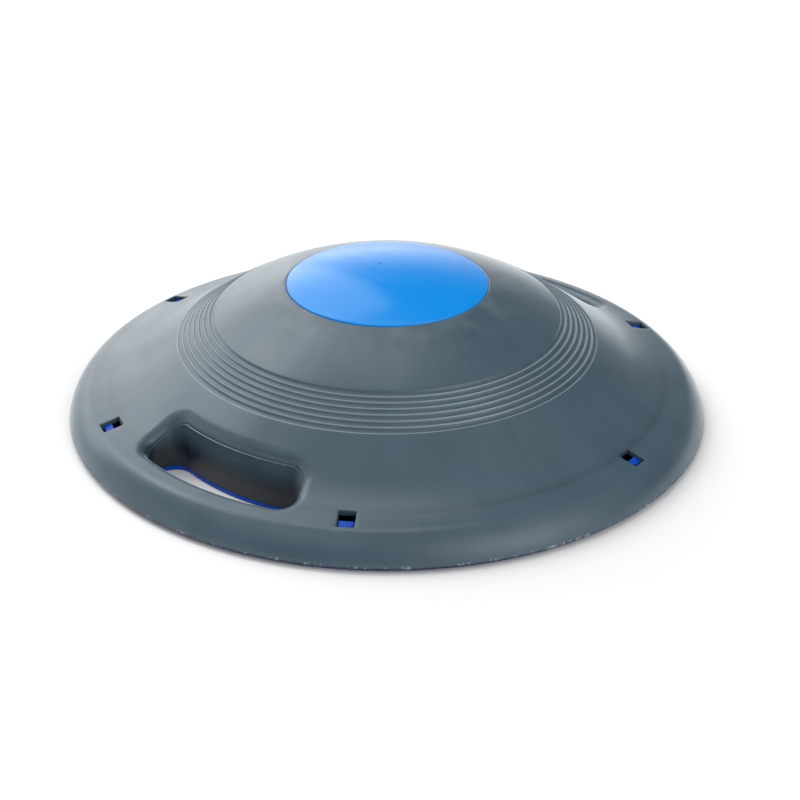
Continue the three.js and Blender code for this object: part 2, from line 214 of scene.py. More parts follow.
class Skin:
    """Points and faces of a surface, gathered ring by ring."""

    def __init__(self):
        self.points = []
        self.faces = []

    def add(self, points):
        """Adds points and gives back their numbers."""
        first = len(self.points)
        self.points.extend(tuple(map(float, p)) for p in points)
        return list(range(first, len(self.points)))

    def band(self, one, two):
        """Joins two closed rings. A ring of a single point makes a fan."""
        count = max(len(one), len(two))
        for i in range(count):
            j = (i + 1) % count
            corners = [one[i % len(one)], one[j % len(one)], two[j % len(two)], two[i % len(two)]]
            self.faces.append(tuple(dict.fromkeys(corners)))

    def rings(self, loops):
        """Adds rings of points and joins each to the next."""
        numbers = [self.add(loop) for loop in loops]
        for one, two in zip(numbers, numbers[1:]):
            self.band(one, two)
        return numbers


def solid(*skins):
    """A scene object made from closed skins, its faces turned outwards."""
    mesh = bpy.data.meshes.new("solid")
    body = bmesh.new()
    for skin in skins:
        corners = [body.verts.new(Vector(p) * MM) for p in skin.points]
        for face in skin.faces:
            body.faces.new([corners[i] for i in face])
    bmesh.ops.recalc_face_normals(body, faces=body.faces)
    body.to_mesh(mesh)
    body.free()
    made = bpy.data.objects.new("solid", mesh)
    bpy.context.scene.collection.objects.link(made)
    return made


def combine(base, other, operation):
    """Joins or cuts two solids: the result stays in base, and the other one is used up."""
    modifier = base.modifiers.new("combine", "BOOLEAN")
    modifier.solver = "MANIFOLD"
    modifier.operation = operation
    modifier.object = other
    graph = bpy.context.evaluated_depsgraph_get()
    mesh = bpy.data.meshes.new_from_object(base.evaluated_get(graph))
    base.modifiers.clear()
    used = [base.data, other.data]
    base.data = mesh
    bpy.data.objects.remove(other)
    for old in used:
        bpy.data.meshes.remove(old)
    return base


def join(base, *others):
    for other in others:
        combine(base, other, "UNION")
    return base


def cut(base, *others):
    for other in others:
        combine(base, other, "DIFFERENCE")
    return base


def circle(radius, height, count=SEGMENTS, centre=(0.0, 0.0)):
    """Points round an upright circle, or its centre alone when the radius is nothing."""
    if radius < 1e-6:
        return [(*centre, height)]
    x, y = centre
    return [(x + radius * math.cos(a), y + radius * math.sin(a), height) for a in evenly(count)]


def turned(profile, count=SEGMENTS, centre=(0.0, 0.0)):
    """A profile of (radius, height) turned about an upright axis; off the axis it closes on itself."""
    skin = Skin()
    numbers = skin.rings([circle(r, z, count, centre) for r, z in profile])
    if len(numbers[0]) > 1:
        skin.band(numbers[-1], numbers[0])
    return skin


def pillar(radius, bottom, top, distance=0.0, angle=0.0, count=48):
    """An upright round bar at a distance and angle from the Z axis."""
    centre = (distance * math.cos(angle), distance * math.sin(angle))
    return turned([(0, bottom), (radius, bottom), (radius, top), (0, top)], count, centre)


def prism(outline, bottom, top):
    """An upright solid on a plan outline."""
    skin = Skin()
    low, high = skin.rings([[(x, y, z) for x, y in outline] for z in (bottom, top)])
    skin.faces += [tuple(low), tuple(high)]
    return skin


def radial_block(inner, outer, width, bottom, top, angle):
    """A block between two radii, centred on the radial line at an angle."""
    c, s = math.cos(angle), math.sin(angle)
    corners = [(inner, -width / 2), (outer, -width / 2), (outer, width / 2), (inner, width / 2)]
    return prism([(u * c - v * s, u * s + v * c) for u, v in corners], bottom, top)


def arc(centre, radius, start, end, steps):
    """Points along an arc in a (radius, height) section."""
    angles = np.linspace(start, end, steps + 1)
    return [(centre[0] + radius * math.cos(a), centre[1] + radius * math.sin(a)) for a in angles]


# ---------------------------------------------------------------- dome outline


def outline_stretches(depth=0.0):
    """The outline at a depth under the surface: start radius, height and slope, end slope, bend, run.
    A bend is the arc's radius, below nothing on the hollow brim fillet; a straight stretch has a run."""
    stretches = []
    place = [0.0, APEX_HEIGHT - depth]
    slope = 0.0

    def follow(bend, end, run=0.0):
        nonlocal place, slope
        end = math.radians(end)
        stretches.append((*place, slope, end, bend, run))
        if bend:
            run = bend * (math.sin(end) - math.sin(slope))
            place = [place[0] + run, place[1] + bend * (math.cos(end) - math.cos(slope))]
        else:
            place = [place[0] + run, place[1] - run * math.tan(slope)]
        slope = end

    follow(DOME_RADIUS - depth, DOME_SLOPE)
    follow(0, DOME_SLOPE, CONE_END_RADIUS - DOME_RADIUS * math.sin(math.radians(DOME_SLOPE)))
    follow(-BRIM_FILLET - depth, BRIM_SLOPE)
    follow(NOSE_TOP_RADIUS - depth, NOSE_BREAK_SLOPE)
    nose = NOSE_RADIUS - depth
    centre_height = place[1] - nose * math.cos(slope)
    follow(nose, math.degrees(math.acos((SHELL_BOTTOM - centre_height) / nose)))
    return stretches


def outline(depth=0.0, step=1.2):
    """Points of the outline from the apex to the foot, about a step apart."""
    points = [(0.0, APEX_HEIGHT - depth)]
    for r, z, start, end, bend, run in outline_stretches(depth):
        length = abs(bend * (end - start)) + run / math.cos(start)
        steps = max(2, round(length / step))
        for i in range(1, steps + 1):
            slope = start + (end - start) * i / steps
            if bend:
                points.append((r + bend * (math.sin(slope) - math.sin(start)),
                               z + bend * (math.cos(slope) - math.cos(start))))
            else:
                points.append((r + run * i / steps, z - run * i / steps * math.tan(start)))
    return points


STRETCHES = outline_stretches()


def surface(radius):
    """Height and slope of the dome's outer surface at each radius."""
    radius = np.asarray(radius, float)
    height = np.zeros_like(radius)
    slope = np.zeros_like(radius)
    for start_r, start_z, start, _, bend, _ in STRETCHES:
        here = radius >= start_r
        run = radius[here] - start_r
        if bend:
            angle = np.arcsin(np.clip(math.sin(start) + run / bend, -1, 1))
            height[here] = start_z + bend * (np.cos(angle) - math.cos(start))
        else:
            angle = np.full(run.shape, start)
            height[here] = start_z - run * math.tan(start)
        slope[here] = angle
    return height, slope


def flute_depth(share):
    """How deep a flute is at a share of the way across it: a long fall, a short rise, round crests."""
    if share < FLUTE_LOWEST:
        fall = 1 - (1 - share / FLUTE_LOWEST) ** 2
    else:
        fall = 1 - ((share - FLUTE_LOWEST) / (1 - FLUTE_LOWEST)) ** 2
    return math.hypot(FLUTE_DEPTH * fall, FLUTE_CREST_ROUND) - FLUTE_CREST_ROUND


def fluted_belt():
    """Outline points from the recess edge, over the ring flutes, to the tiled belt."""
    shares = [0, 0.02, 0.05, 0.1, 0.18, 0.3, 0.45, 0.62, 0.74, 0.84, 0.91, 0.95, 0.98]
    flute_end = FLUTE_START + FLUTE_COUNT * FLUTE_PITCH
    smooth_start = RECESS_RADIUS + RECESS_EDGE_ROUND
    radii = [(r, 0.0) for r in np.linspace(smooth_start, FLUTE_START, 24)[:-1]]
    for i in range(FLUTE_COUNT):
        radii += [(FLUTE_START + (i + share) * FLUTE_PITCH, flute_depth(share)) for share in shares]
    radii += [(r, 0.0) for r in np.linspace(flute_end, BELT_INNER, 5)]
    heights, slopes = surface([r for r, _ in radii])
    return [(r - depth * math.sin(slope), z - depth * math.cos(slope))
            for (r, depth), z, slope in zip(radii, heights, slopes)]


# ---------------------------------------------------------------- openings in the brim


def stepped(length, step):
    return max(2, round(length / step))


def slot_outline(grow=0.0, side=0.0):
    """The hand slot's plan outline, grown outwards and turned to a side, with its outward directions."""
    outer_centre = SLOT_OUTER_RADIUS - SLOT_CORNER
    inner_centre = SLOT_INNER_RADIUS + SLOT_CORNER
    outer_angle = SLOT_HALF_ANGLE - math.asin(SLOT_CORNER / outer_centre)
    inner_angle = SLOT_HALF_ANGLE - math.asin(SLOT_CORNER / inner_centre)
    end_normal = SLOT_HALF_ANGLE + RIGHT_ANGLE
    corner = SLOT_CORNER + grow
    points, normals = [], []

    def follow(centre_radius, centre_angle, radius, start, end, outward=1):
        steps = stepped(radius * abs(end - start), SLOT_STEP)
        for angle in np.linspace(start, end, steps, endpoint=False):
            way = np.array([math.cos(angle), math.sin(angle)])
            centre = centre_radius * np.array([math.cos(centre_angle), math.sin(centre_angle)])
            points.append(centre + radius * way)
            normals.append(outward * way)

    follow(0, 0, SLOT_OUTER_RADIUS + grow, -outer_angle, outer_angle)
    follow(outer_centre, outer_angle, corner, outer_angle, end_normal)
    follow(inner_centre, inner_angle, corner, end_normal, inner_angle + math.pi)
    follow(0, 0, SLOT_INNER_RADIUS - grow, inner_angle, -inner_angle, -1)
    follow(inner_centre, -inner_angle, corner, math.pi - inner_angle, FULL_TURN - end_normal)
    follow(outer_centre, -outer_angle, corner, FULL_TURN - end_normal, FULL_TURN - outer_angle)
    return turned_plan(points, normals, side)


def window_outline(angle):
    """A snap window's plan outline with round corners, with its outward directions."""
    half_long = (WINDOW_OUTER_RADIUS - WINDOW_INNER_RADIUS) / 2 - WINDOW_CORNER
    half_wide = WINDOW_WIDTH / 2 - WINDOW_CORNER
    middle = (WINDOW_OUTER_RADIUS + WINDOW_INNER_RADIUS) / 2
    corners = [(half_long, -half_wide), (half_long, half_wide),
               (-half_long, half_wide), (-half_long, -half_wide)]
    points, normals = [], []
    for quarter, (u, v) in enumerate(corners):
        start = (quarter - 1) * RIGHT_ANGLE
        for turn in np.linspace(start, start + RIGHT_ANGLE, 5):
            way = np.array([math.cos(turn), math.sin(turn)])
            points.append(np.array([middle + u, v]) + WINDOW_CORNER * way)
            normals.append(way)
        next_u, next_v = corners[(quarter + 1) % 4]
        length = math.hypot(next_u - u, next_v - v)
        steps = stepped(length, WINDOW_STEP)
        way = normals[-1]
        for i in range(1, steps):
            share = i / steps
            centre = np.array([middle + u + (next_u - u) * share, v + (next_v - v) * share])
            points.append(centre + WINDOW_CORNER * way)
            normals.append(way)
    return turned_plan(points, normals, angle)


def turned_plan(points, normals, angle):
    """Plan points and directions turned about the Z axis."""
    spin = np.array([[math.cos(angle), math.sin(angle)], [-math.sin(angle), math.cos(angle)]])
    return np.array(points) @ spin, np.array(normals) @ spin


def lip(points, normals, radius):
    """Rolls a ball of each radius into the edge between an upright wall and the dome's surface. Gives how
    far out the ball leaves the surface, the height of its centre, and the tilt of the surface there."""
    out = np.array(radius, float)
    for _ in range(LIP_REFINEMENTS):
        reach = points + normals * out[:, None]
        distance = np.linalg.norm(reach, axis=1)
        height, slope = surface(distance)
        rise = -np.tan(slope) * (reach * normals).sum(1) / distance
        tilt = np.arctan(rise)
        out = radius * (1 - np.sin(tilt))
    return out, height - radius * np.cos(tilt), tilt


def lip_rings(points, normals, radius, steps):
    """Rings of points over a rolled lip, from the surface down to the top of the upright wall."""
    out, centre_height, tilt = lip(points, normals, radius)
    rings = []
    for i in range(steps + 1):
        angle = RIGHT_ANGLE + tilt + (RIGHT_ANGLE - tilt) * i / steps
        away = radius + radius * np.cos(angle)
        height = centre_height + radius * np.sin(angle)
        rings.append(np.column_stack([points + normals * away[:, None], height]))
    return rings


def seam_rings(points, normals, wall_top):
    """Rings over the thin moulding seam that stands out of the slot's wall where the lip ends."""
    steps = [(0.95, 0.4), (1.0, 0.5), (1.0, 0.7), (0.8, 0.85), (0.0, 1.0)]
    return [np.column_stack([points - normals * SEAM_PROUD * out, wall_top - SEAM_HEIGHT * down])
            for out, down in steps]


def slot_lip_radius(points, normals):
    """The slot's lip is rounder where the dome rises away from it."""
    distance = np.linalg.norm(points, axis=1)
    _, slope = surface(distance)
    rise = np.arctan(-np.tan(slope) * (points * normals).sum(1) / distance)
    return LIP_RADIUS * (1 + LIP_WIDENING * np.maximum(0, np.sin(rise)))


# ---------------------------------------------------------------- tiling


def inside(points, loop):
    """Which plan points lie inside a closed loop."""
    x, y = points[:, 0][:, None], points[:, 1][:, None]
    x1, y1 = loop[:, 0], loop[:, 1]
    x2, y2 = np.roll(x1, -1), np.roll(y1, -1)
    spans = (y1 > y) != (y2 > y)
    rise = np.where(y2 == y1, 1.0, y2 - y1)
    crossing = x1 + (y - y1) / rise * (x2 - x1)
    return (spans & (x < crossing)).sum(1) % 2 == 1


def tile(skin, outer, holes, spacing=None):
    """Fills the area between loops of the skin's points with triangles that follow the dome's surface."""
    loops = [outer, *holes]
    numbers = [i for loop in loops for i in loop]
    edges = []
    for loop in loops:
        first = len(edges)
        edges += [(first + i, first + (i + 1) % len(loop)) for i in range(len(loop))]
    plan = np.array([skin.points[i][:2] for i in numbers])
    shapes = [np.array([skin.points[i][:2] for i in loop]) for loop in loops]
    if spacing:
        reach = np.abs(plan).max()
        rows = np.arange(-reach, reach, spacing * math.sqrt(3) / 2)
        grid = np.array([(x + spacing / 2 * (row % 2), y) for row, y in enumerate(rows)
                         for x in np.arange(-reach, reach, spacing)])
        grid = grid[inside(grid, shapes[0])]
        for shape in shapes[1:]:
            grid = grid[~inside(grid, shape)]
        tree = KDTree(len(plan))
        for i, (x, y) in enumerate(plan):
            tree.insert((x, y, 0), i)
        tree.balance()
        grid = np.array([p for p in grid if tree.find((*p, 0))[2] > spacing * 0.6])
        heights, _ = surface(np.linalg.norm(grid, axis=1))
        numbers += skin.add(np.column_stack([grid, heights]))
        plan = np.vstack([plan, grid])
    found = delaunay_2d_cdt([Vector(p) for p in plan], edges, [], 0, 1e-6)
    source = [ids[0] for ids in found[3]]
    triangles = np.array([[source[i] for i in face] for face in found[2]])
    middles = plan[triangles].mean(1)
    kept = inside(middles, shapes[0])
    for shape in shapes[1:]:
        kept &= ~inside(middles, shape)
    skin.faces += [tuple(numbers[i] for i in face) for face in triangles[kept]]


# ---------------------------------------------------------------- dome shell


def shell_outside():
    """The dome's closed outer body: recess, flutes, belt with slots and windows, nose and flat foot."""
    skin = Skin()
    floor_radius = DOME_RADIUS - RECESS_DEPTH
    sphere_centre = APEX_HEIGHT - DOME_RADIUS
    floor = [(r, sphere_centre + math.sqrt(floor_radius ** 2 - r * r))
             for r in np.linspace(0, RECESS_RADIUS, 14)]
    edge_height, _ = surface([RECESS_RADIUS])
    edge_centre = (RECESS_RADIUS + RECESS_EDGE_ROUND, edge_height[0] - RECESS_EDGE_SINK * RECESS_EDGE_ROUND)
    edge = arc(edge_centre, RECESS_EDGE_ROUND, math.pi, RIGHT_ANGLE + RECESS_EDGE_LEAN, 4)
    upper = skin.rings([circle(r, z) for r, z in floor + edge + fluted_belt()])
    height, _ = surface([BELT_OUTER])
    nose = [(r, z) for r, z in outline(step=1.0) if r > BELT_OUTER + 0.4 and z > SHELL_BOTTOM + FOOT_ROUND]
    foot_radius = shell_high.x
    foot = arc((foot_radius - FOOT_ROUND, SHELL_BOTTOM + FOOT_ROUND), FOOT_ROUND, 0, -RIGHT_ANGLE, 4)
    lower = skin.rings([circle(r, z) for r, z in [(BELT_OUTER, height[0]), *nose, *foot]])
    slots = []
    slot_feet = []
    for side in (0.0, math.pi):
        points, normals = slot_outline(side=side)
        rings = lip_rings(points, normals, slot_lip_radius(points, normals), LIP_STEPS)
        seam = seam_rings(points, normals, rings[-1][:, 2])
        foot_ring = np.column_stack([points, np.full(len(points), SHELL_BOTTOM)])
        numbers = skin.rings([*rings, *seam, foot_ring])
        slots.append(numbers[0])
        slot_feet.append(numbers[-1])
    windows = []
    for angle in WINDOW_ANGLES:
        points, normals = window_outline(angle)
        radius = np.full(len(points), WINDOW_EDGE_ROUND)
        ledge = np.column_stack([points, np.full(len(points), LEDGE_TOP)])
        numbers = skin.rings([*lip_rings(points, normals, radius, 4), ledge])
        skin.faces.append(tuple(numbers[-1]))
        windows.append(numbers[0])
    tile(skin, lower[0], [upper[-1], *slots, *windows], BELT_TILE)
    tile(skin, lower[-1], slot_feet)
    return skin


def dome_cap(upper_depth, lower_depth, radius):
    """A round cap between two depths under the dome's surface."""
    def shell_arc(depth):
        ball = DOME_RADIUS - depth
        return [(r, APEX_HEIGHT - DOME_RADIUS + math.sqrt(ball ** 2 - r * r))
                for r in np.linspace(0, radius, 16)]
    return turned(shell_arc(lower_depth) + shell_arc(upper_depth)[::-1], 240)


def shell_hollow():
    """The space inside the dome, round its slot walls, ribs, screw pillars, ledges and hub."""
    inner = outline(WALL, 4.0)
    hollow = solid(turned([(0, FAR_DOWN), (inner[-1][0], FAR_DOWN), *inner[::-1]], 240))
    posts = [prism(slot_outline(SLOT_WALL, side)[0], FAR_DOWN - 1, FAR_UP) for side in (0.0, math.pi)]
    posts += [radial_block(HUB_RADIUS - 1, WEB_OUTER, WEB_THICKNESS, SHELL_BOTTOM, FAR_UP, a)
              for a in WEB_ANGLES]
    posts += [pillar(PILLAR_RADIUS, PILLAR_BOTTOM, FAR_UP, SCREW_CIRCLE, a) for a in SCREW_ANGLES]
    posts += [radial_block(LEDGE_INNER_RADIUS, WINDOW_OUTER_RADIUS + LEDGE_MARGIN,
                           WINDOW_WIDTH + 2 * LEDGE_MARGIN, LEDGE_BOTTOM, FAR_UP, a) for a in WINDOW_ANGLES]
    hub = pillar(HUB_RADIUS, SHELL_BOTTOM, FAR_UP, count=120)
    recess_floor = dome_cap(WALL / 2, RECESS_DEPTH + RECESS_FLOOR, RECESS_FLOOR_RADIUS)
    return cut(hollow, solid(*posts), solid(hub), solid(recess_floor))


def dome_shell():
    """The slate dome, moulded in one piece."""
    bores = [pillar(HUB_RADIUS - HUB_WALL, FAR_DOWN, APEX_HEIGHT - 3 * WALL, count=120)]
    for angle in SCREW_ANGLES:
        centre = (SCREW_CIRCLE * math.cos(angle), SCREW_CIRCLE * math.sin(angle))
        shoulder = PAD_BOSS_BOTTOM - GAP
        steps = [(0, FAR_DOWN), (SCREW_HOLE_RADIUS, FAR_DOWN), (SCREW_HOLE_RADIUS, shoulder),
                 (PAD_BOSS_RADIUS + GAP, shoulder), (PAD_BOSS_RADIUS + GAP, FAR_UP), (0, FAR_UP)]
        bores.append(turned(steps, 48, centre))
    return cut(solid(shell_outside()), shell_hollow(), solid(*bores))


# ---------------------------------------------------------------- deck


def hook(angle):
    """A snap hook: a post with a barb over the window's ledge, its edges rounded."""
    root = DECK_THICKNESS / 2
    side = [
        (HOOK_INNER_RADIUS, root),
        (LEDGE_INNER_RADIUS - GAP, root),
        (LEDGE_INNER_RADIUS - GAP, LEDGE_TOP + GAP),
        (HOOK_BARB_RADIUS, LEDGE_TOP + GAP),
        (HOOK_BARB_RADIUS, HOOK_NOSE_TOP),
        (HOOK_INNER_RADIUS + HOOK_TIP_RUN, HOOK_TOP),
        (HOOK_INNER_RADIUS, HOOK_TOP - HOOK_TIP_DROP),
    ]
    c, s = math.cos(angle), math.sin(angle)
    skin = Skin()
    faces = skin.rings([[(r * c - v * s, r * s + v * c, z) for r, z in side]
                        for v in (-HOOK_WIDTH / 2, HOOK_WIDTH / 2)])
    skin.faces += [tuple(face) for face in faces]
    made = solid(skin)
    body = bmesh.new()
    body.from_mesh(made.data)
    bmesh.ops.bevel(body, geom=body.edges[:], offset=HOOK_EDGE_ROUND * MM, segments=3, profile=0.5,
                    affect="EDGES", clamp_overlap=True)
    body.to_mesh(made.data)
    body.free()
    return made


def standing_deck():
    """The blue deck: a plate with a grooved standing face, a centring spigot, ribs and six hooks."""
    face = [(0.0, 0.0)]
    for i in range(GRIP_COUNT):
        middle = GRIP_FIRST_RADIUS + i * GRIP_PITCH
        face += arc((middle, 0.0), GRIP_WIDTH / 2, math.pi, 0, 8)
    groove = 2 * GRIP_DEPTH / GRIP_WIDTH
    face = [(r, z * groove) for r, z in face]
    rim = arc((DECK_RADIUS - DECK_EDGE_ROUND, DECK_EDGE_ROUND), DECK_EDGE_ROUND, -RIGHT_ANGLE, 0, 5)
    plate = solid(turned([*face, *rim, (DECK_RADIUS, DECK_THICKNESS), (0, DECK_THICKNESS)]))
    root = DECK_THICKNESS / 2
    spigot_top = DECK_THICKNESS + SPIGOT_HEIGHT
    spigot = turned([(SPIGOT_RADIUS, root), (SPIGOT_RADIUS + SPIGOT_WIDTH, root),
                     (SPIGOT_RADIUS + SPIGOT_WIDTH, spigot_top), (SPIGOT_RADIUS, spigot_top)])
    ribs = [radial_block(RIB_INNER, RIB_OUTER, RIB_WIDTH, root, DECK_THICKNESS + RIB_HEIGHT, a)
            for a in evenly(WEB_COUNT)]
    join(plate, solid(spigot, *ribs), *[hook(a) for a in WINDOW_ANGLES])
    flare = [(0.6, -0.6), (0.45, 0.0), (0.0, 0.15), (-0.22, 0.5), (-GAP, 0.8), (-GAP, RIB_HEIGHT)]
    return cut(plate, solid(*[flared_slot(flare, side) for side in (0.0, math.pi)]))


def flared_slot(flare, side):
    """A slot cutter whose outline grows by a given amount at each height."""
    points, normals = slot_outline(0.0, side)
    skin = Skin()
    rings = skin.rings([np.column_stack([points + grow * normals, np.full(len(points), z)])
                        for grow, z in flare])
    skin.faces += [tuple(rings[0]), tuple(rings[-1])]
    return skin


# ---------------------------------------------------------------- pad and screws


def apex_pad():
    """The round blue pad let into the dome, with a round edge, a gate mark and bosses for its screws."""
    ball = DOME_RADIUS + PAD_PROUD
    ball_centre = APEX_HEIGHT - DOME_RADIUS
    round_radius = PAD_RADIUS - PAD_EDGE_ROUND
    round_height = ball_centre + math.sqrt((ball - PAD_EDGE_ROUND) ** 2 - round_radius ** 2)
    lean = math.atan2(round_height - ball_centre, round_radius)
    edge = arc((round_radius, round_height), PAD_EDGE_ROUND, 0, lean, 6)
    top = [(r, ball_centre + math.sqrt(ball ** 2 - r * r)) for r in np.linspace(edge[-1][0], 0, 30)[1:]]
    back = ball - PAD_THICKNESS
    under = [(r, ball_centre + math.sqrt(back ** 2 - r * r)) for r in np.linspace(0, PAD_RADIUS, 20)]
    pad = solid(turned([*under, *edge, *top], 360))
    boss_top = surface([SCREW_CIRCLE])[0][0] - RECESS_DEPTH / 2
    join(pad, solid(*[pillar(PAD_BOSS_RADIUS, PAD_BOSS_BOTTOM, boss_top, SCREW_CIRCLE, a)
                      for a in SCREW_ANGLES]))
    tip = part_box("pad_screw_1")[1].z / MM
    pilots = [pillar(PILOT_RADIUS, FAR_DOWN, tip + GAP, SCREW_CIRCLE, a) for a in SCREW_ANGLES]
    gate_top = ball_centre + ball
    gate_edge = gate_top - math.hypot(*GATE_PLACE) ** 2 / (2 * ball)
    gate_floor = gate_edge - GATE_DEPTH
    gate = turned([(0, gate_floor), (GATE_RADIUS * 0.6, gate_floor), (GATE_RADIUS, gate_edge + 0.1),
                   (GATE_RADIUS, gate_top + 2), (0, gate_top + 2)], 24, GATE_PLACE)
    return cut(pad, solid(*pilots, gate))


def pad_screw(angle):
    """A flange-head self-tapping screw with a hexagon socket, pointing up into the pad."""
    low, high = node_box("pad_screw_1")
    seat = low.z + HEAD_HEIGHT + FLANGE_HEIGHT
    head_top = low.z + HEAD_HEIGHT
    root = THREAD_RADIUS - THREAD_DEPTH
    head_edge = arc((HEAD_RADIUS - HEAD_ROUND, low.z + HEAD_ROUND), HEAD_ROUND, -RIGHT_ANGLE, 0, 5)
    profile = [(0, low.z), *head_edge, (HEAD_RADIUS, head_top),
               (FLANGE_RADIUS - FLANGE_BEVEL_WIDTH, head_top + FLANGE_BEVEL_FOOT),
               (FLANGE_RADIUS, head_top + FLANGE_BEVEL_TOP), (FLANGE_RADIUS, seat), (THREAD_RADIUS, seat)]
    height = seat + 1
    while height + THREAD_PITCH < high.z - 1:
        profile += [(root, height), (root, height + THREAD_ROOT_WIDTH),
                    (THREAD_RADIUS, height + THREAD_ROOT_WIDTH + THREAD_FLANK)]
        height += THREAD_PITCH
    profile += [(root, height), (0, high.z)]
    centre = (SCREW_CIRCLE * math.cos(angle), SCREW_CIRCLE * math.sin(angle))
    body = solid(turned(profile, 40, centre))
    socket = pillar(SOCKET_RADIUS, low.z - 1, low.z + SOCKET_DEPTH, SCREW_CIRCLE, angle, 6)
    return cut(body, solid(socket))


# ---------------------------------------------------------------- materials


SLATE_DARK = (0.030, 0.060, 0.087)
SLATE_LIGHT = (0.057, 0.104, 0.140)
SLATE_STREAK = (0.064, 0.108, 0.142)
SLATE_SCUFF = (0.12, 0.165, 0.195)
SLATE_CREST_HIGHLIGHT = (0.33, 0.4, 0.44)
SLATE_RECESS_EDGE_HIGHLIGHT = (0.5, 0.56, 0.6)
SLATE_GRIME_AND_SHADE = (0.012, 0.018, 0.03)
SLATE_FLECK = (0.5, 0.55, 0.58)
SLOT_SHADE = (0.007, 0.014, 0.02)
SLATE_SHEEN = (0.9, 0.96, 1.0)
BLUE_EDGE_SHADE = (0.012, 0.012, 0.06)
BLUE_SPECK = (0.45, 0.72, 0.9)
STREAK_COUNT = 60

# Heights and distances at which a tint fades, in metres
SCUFFS_FULL, SCUFFS_GONE = 0.08, 0.115
FOOT_GRIME_AND_SHADE_FULL, FOOT_GRIME_AND_SHADE_GONE = 0.0038, 0.0052
FLECKS_FULL, FLECKS_GONE = 0.0046, 0.006
SHADE_FULL, SHADE_GONE = 0.018, 0.032
DECK_EDGE_SHADE_FULL, DECK_EDGE_SHADE_GONE = 0.0018, 0.0036
DECK_EDGE_FROM, DECK_EDGE_FULL = 0.2435, 0.245


class Nodes:
    """A material's node tree, with short ways to add and join nodes."""

    def __init__(self, name):
        self.material = bpy.data.materials.new(name)
        self.material.use_nodes = True
        self.tree = self.material.node_tree
        self.shader = self.tree.nodes["Principled BSDF"]
        self.place = self.add("ShaderNodeTexCoord").outputs["Object"]

    def add(self, kind, **settings):
        node = self.tree.nodes.new(kind)
        for key, value in settings.items():
            setattr(node, key, value)
        return node

    def link(self, source, target):
        self.tree.links.new(source, target)

    def noise(self, size, detail=3.0, stretch=(1, 1, 1)):
        """Cloudy grey values whose patches are about a size across, in metres."""
        mapping = self.add("ShaderNodeMapping")
        mapping.inputs["Scale"].default_value = stretch
        self.link(self.place, mapping.inputs["Vector"])
        texture = self.add("ShaderNodeTexNoise")
        texture.inputs["Scale"].default_value = 1 / size
        texture.inputs["Detail"].default_value = detail
        self.link(mapping.outputs["Vector"], texture.inputs["Vector"])
        return texture.outputs["Fac"]

    def spread(self, value, from_low, from_high, to_low, to_high):
        """Maps a range of values to another."""
        node = self.add("ShaderNodeMapRange")
        ends = {"From Min": from_low, "From Max": from_high, "To Min": to_low, "To Max": to_high}
        for key, number in ends.items():
            node.inputs[key].default_value = number
        self.link(value, node.inputs["Value"])
        return node.outputs["Result"]

    def mix(self, share, one, two):
        """Blends two colours, each a constant or the output of another blend."""
        node = self.add("ShaderNodeMix", data_type="RGBA")
        self.link(share, node.inputs["Factor"])
        for socket, colour in zip((node.inputs[6], node.inputs[7]), (one, two)):
            if isinstance(colour, tuple):
                socket.default_value = (*colour, 1)
            else:
                self.link(colour, socket)
        return node.outputs[2]

    def times(self, one, two):
        node = self.add("ShaderNodeMath", operation="MULTIPLY")
        self.link(one, node.inputs[0])
        self.link(two, node.inputs[1])
        return node.outputs["Value"]

    def bump(self, layers):
        """Relief from (height value, depth in metres) layers, each on top of the last."""
        normal = None
        for height, depth in layers:
            node = self.add("ShaderNodeBump")
            node.inputs["Distance"].default_value = depth
            self.link(height, node.inputs["Height"])
            if normal:
                self.link(normal, node.inputs["Normal"])
            normal = node.outputs["Normal"]
        self.link(normal, self.shader.inputs["Normal"])


def place_height(nodes):
    """How high a place is above the standing face."""
    split = nodes.add("ShaderNodeSeparateXYZ")
    nodes.link(nodes.place, split.inputs["Vector"])
    return split.outputs["Z"]


def plan_place(nodes):
    """The place with its height left out."""
    flat = nodes.add("ShaderNodeVectorMath", operation="MULTIPLY")
    nodes.link(nodes.place, flat.inputs[0])
    flat.inputs[1].default_value = (1, 1, 0)
    return flat.outputs["Vector"]


def plan_distance(nodes):
    """How far a place is from the upright axis."""
    length = nodes.add("ShaderNodeVectorMath", operation="LENGTH")
    nodes.link(plan_place(nodes), length.inputs[0])
    return length.outputs["Value"]


def streaks(nodes, count):
    """Noise that runs out from the middle in rays, as plastic does when it flows into a mould."""
    ray = nodes.add("ShaderNodeVectorMath", operation="NORMALIZE")
    nodes.link(plan_place(nodes), ray.inputs[0])
    texture = nodes.add("ShaderNodeTexNoise")
    texture.inputs["Scale"].default_value = count / FULL_TURN
    texture.inputs["Detail"].default_value = 3
    nodes.link(ray.outputs["Vector"], texture.inputs["Vector"])
    return texture.outputs["Fac"]


def crests(nodes):
    """How near a place is to the crest of a ring flute, from 0 to 1, and nothing away from the flutes."""
    far = plan_distance(nodes)
    end = FLUTE_START + FLUTE_COUNT * FLUTE_PITCH
    start = FLUTE_START + 0.5 * FLUTE_PITCH
    over = nodes.spread(far, start * MM, end * MM, 0.5, FLUTE_COUNT)
    near = nodes.add("ShaderNodeMath", operation="PINGPONG")
    near.inputs[1].default_value = 0.5
    nodes.link(over, near.inputs[0])
    beyond = nodes.spread(far, (end + 0.1) * MM, (end + 0.6) * MM, 1, 0)
    return nodes.times(nodes.spread(near.outputs["Value"], 0.03, 0.17, 1, 0), beyond)


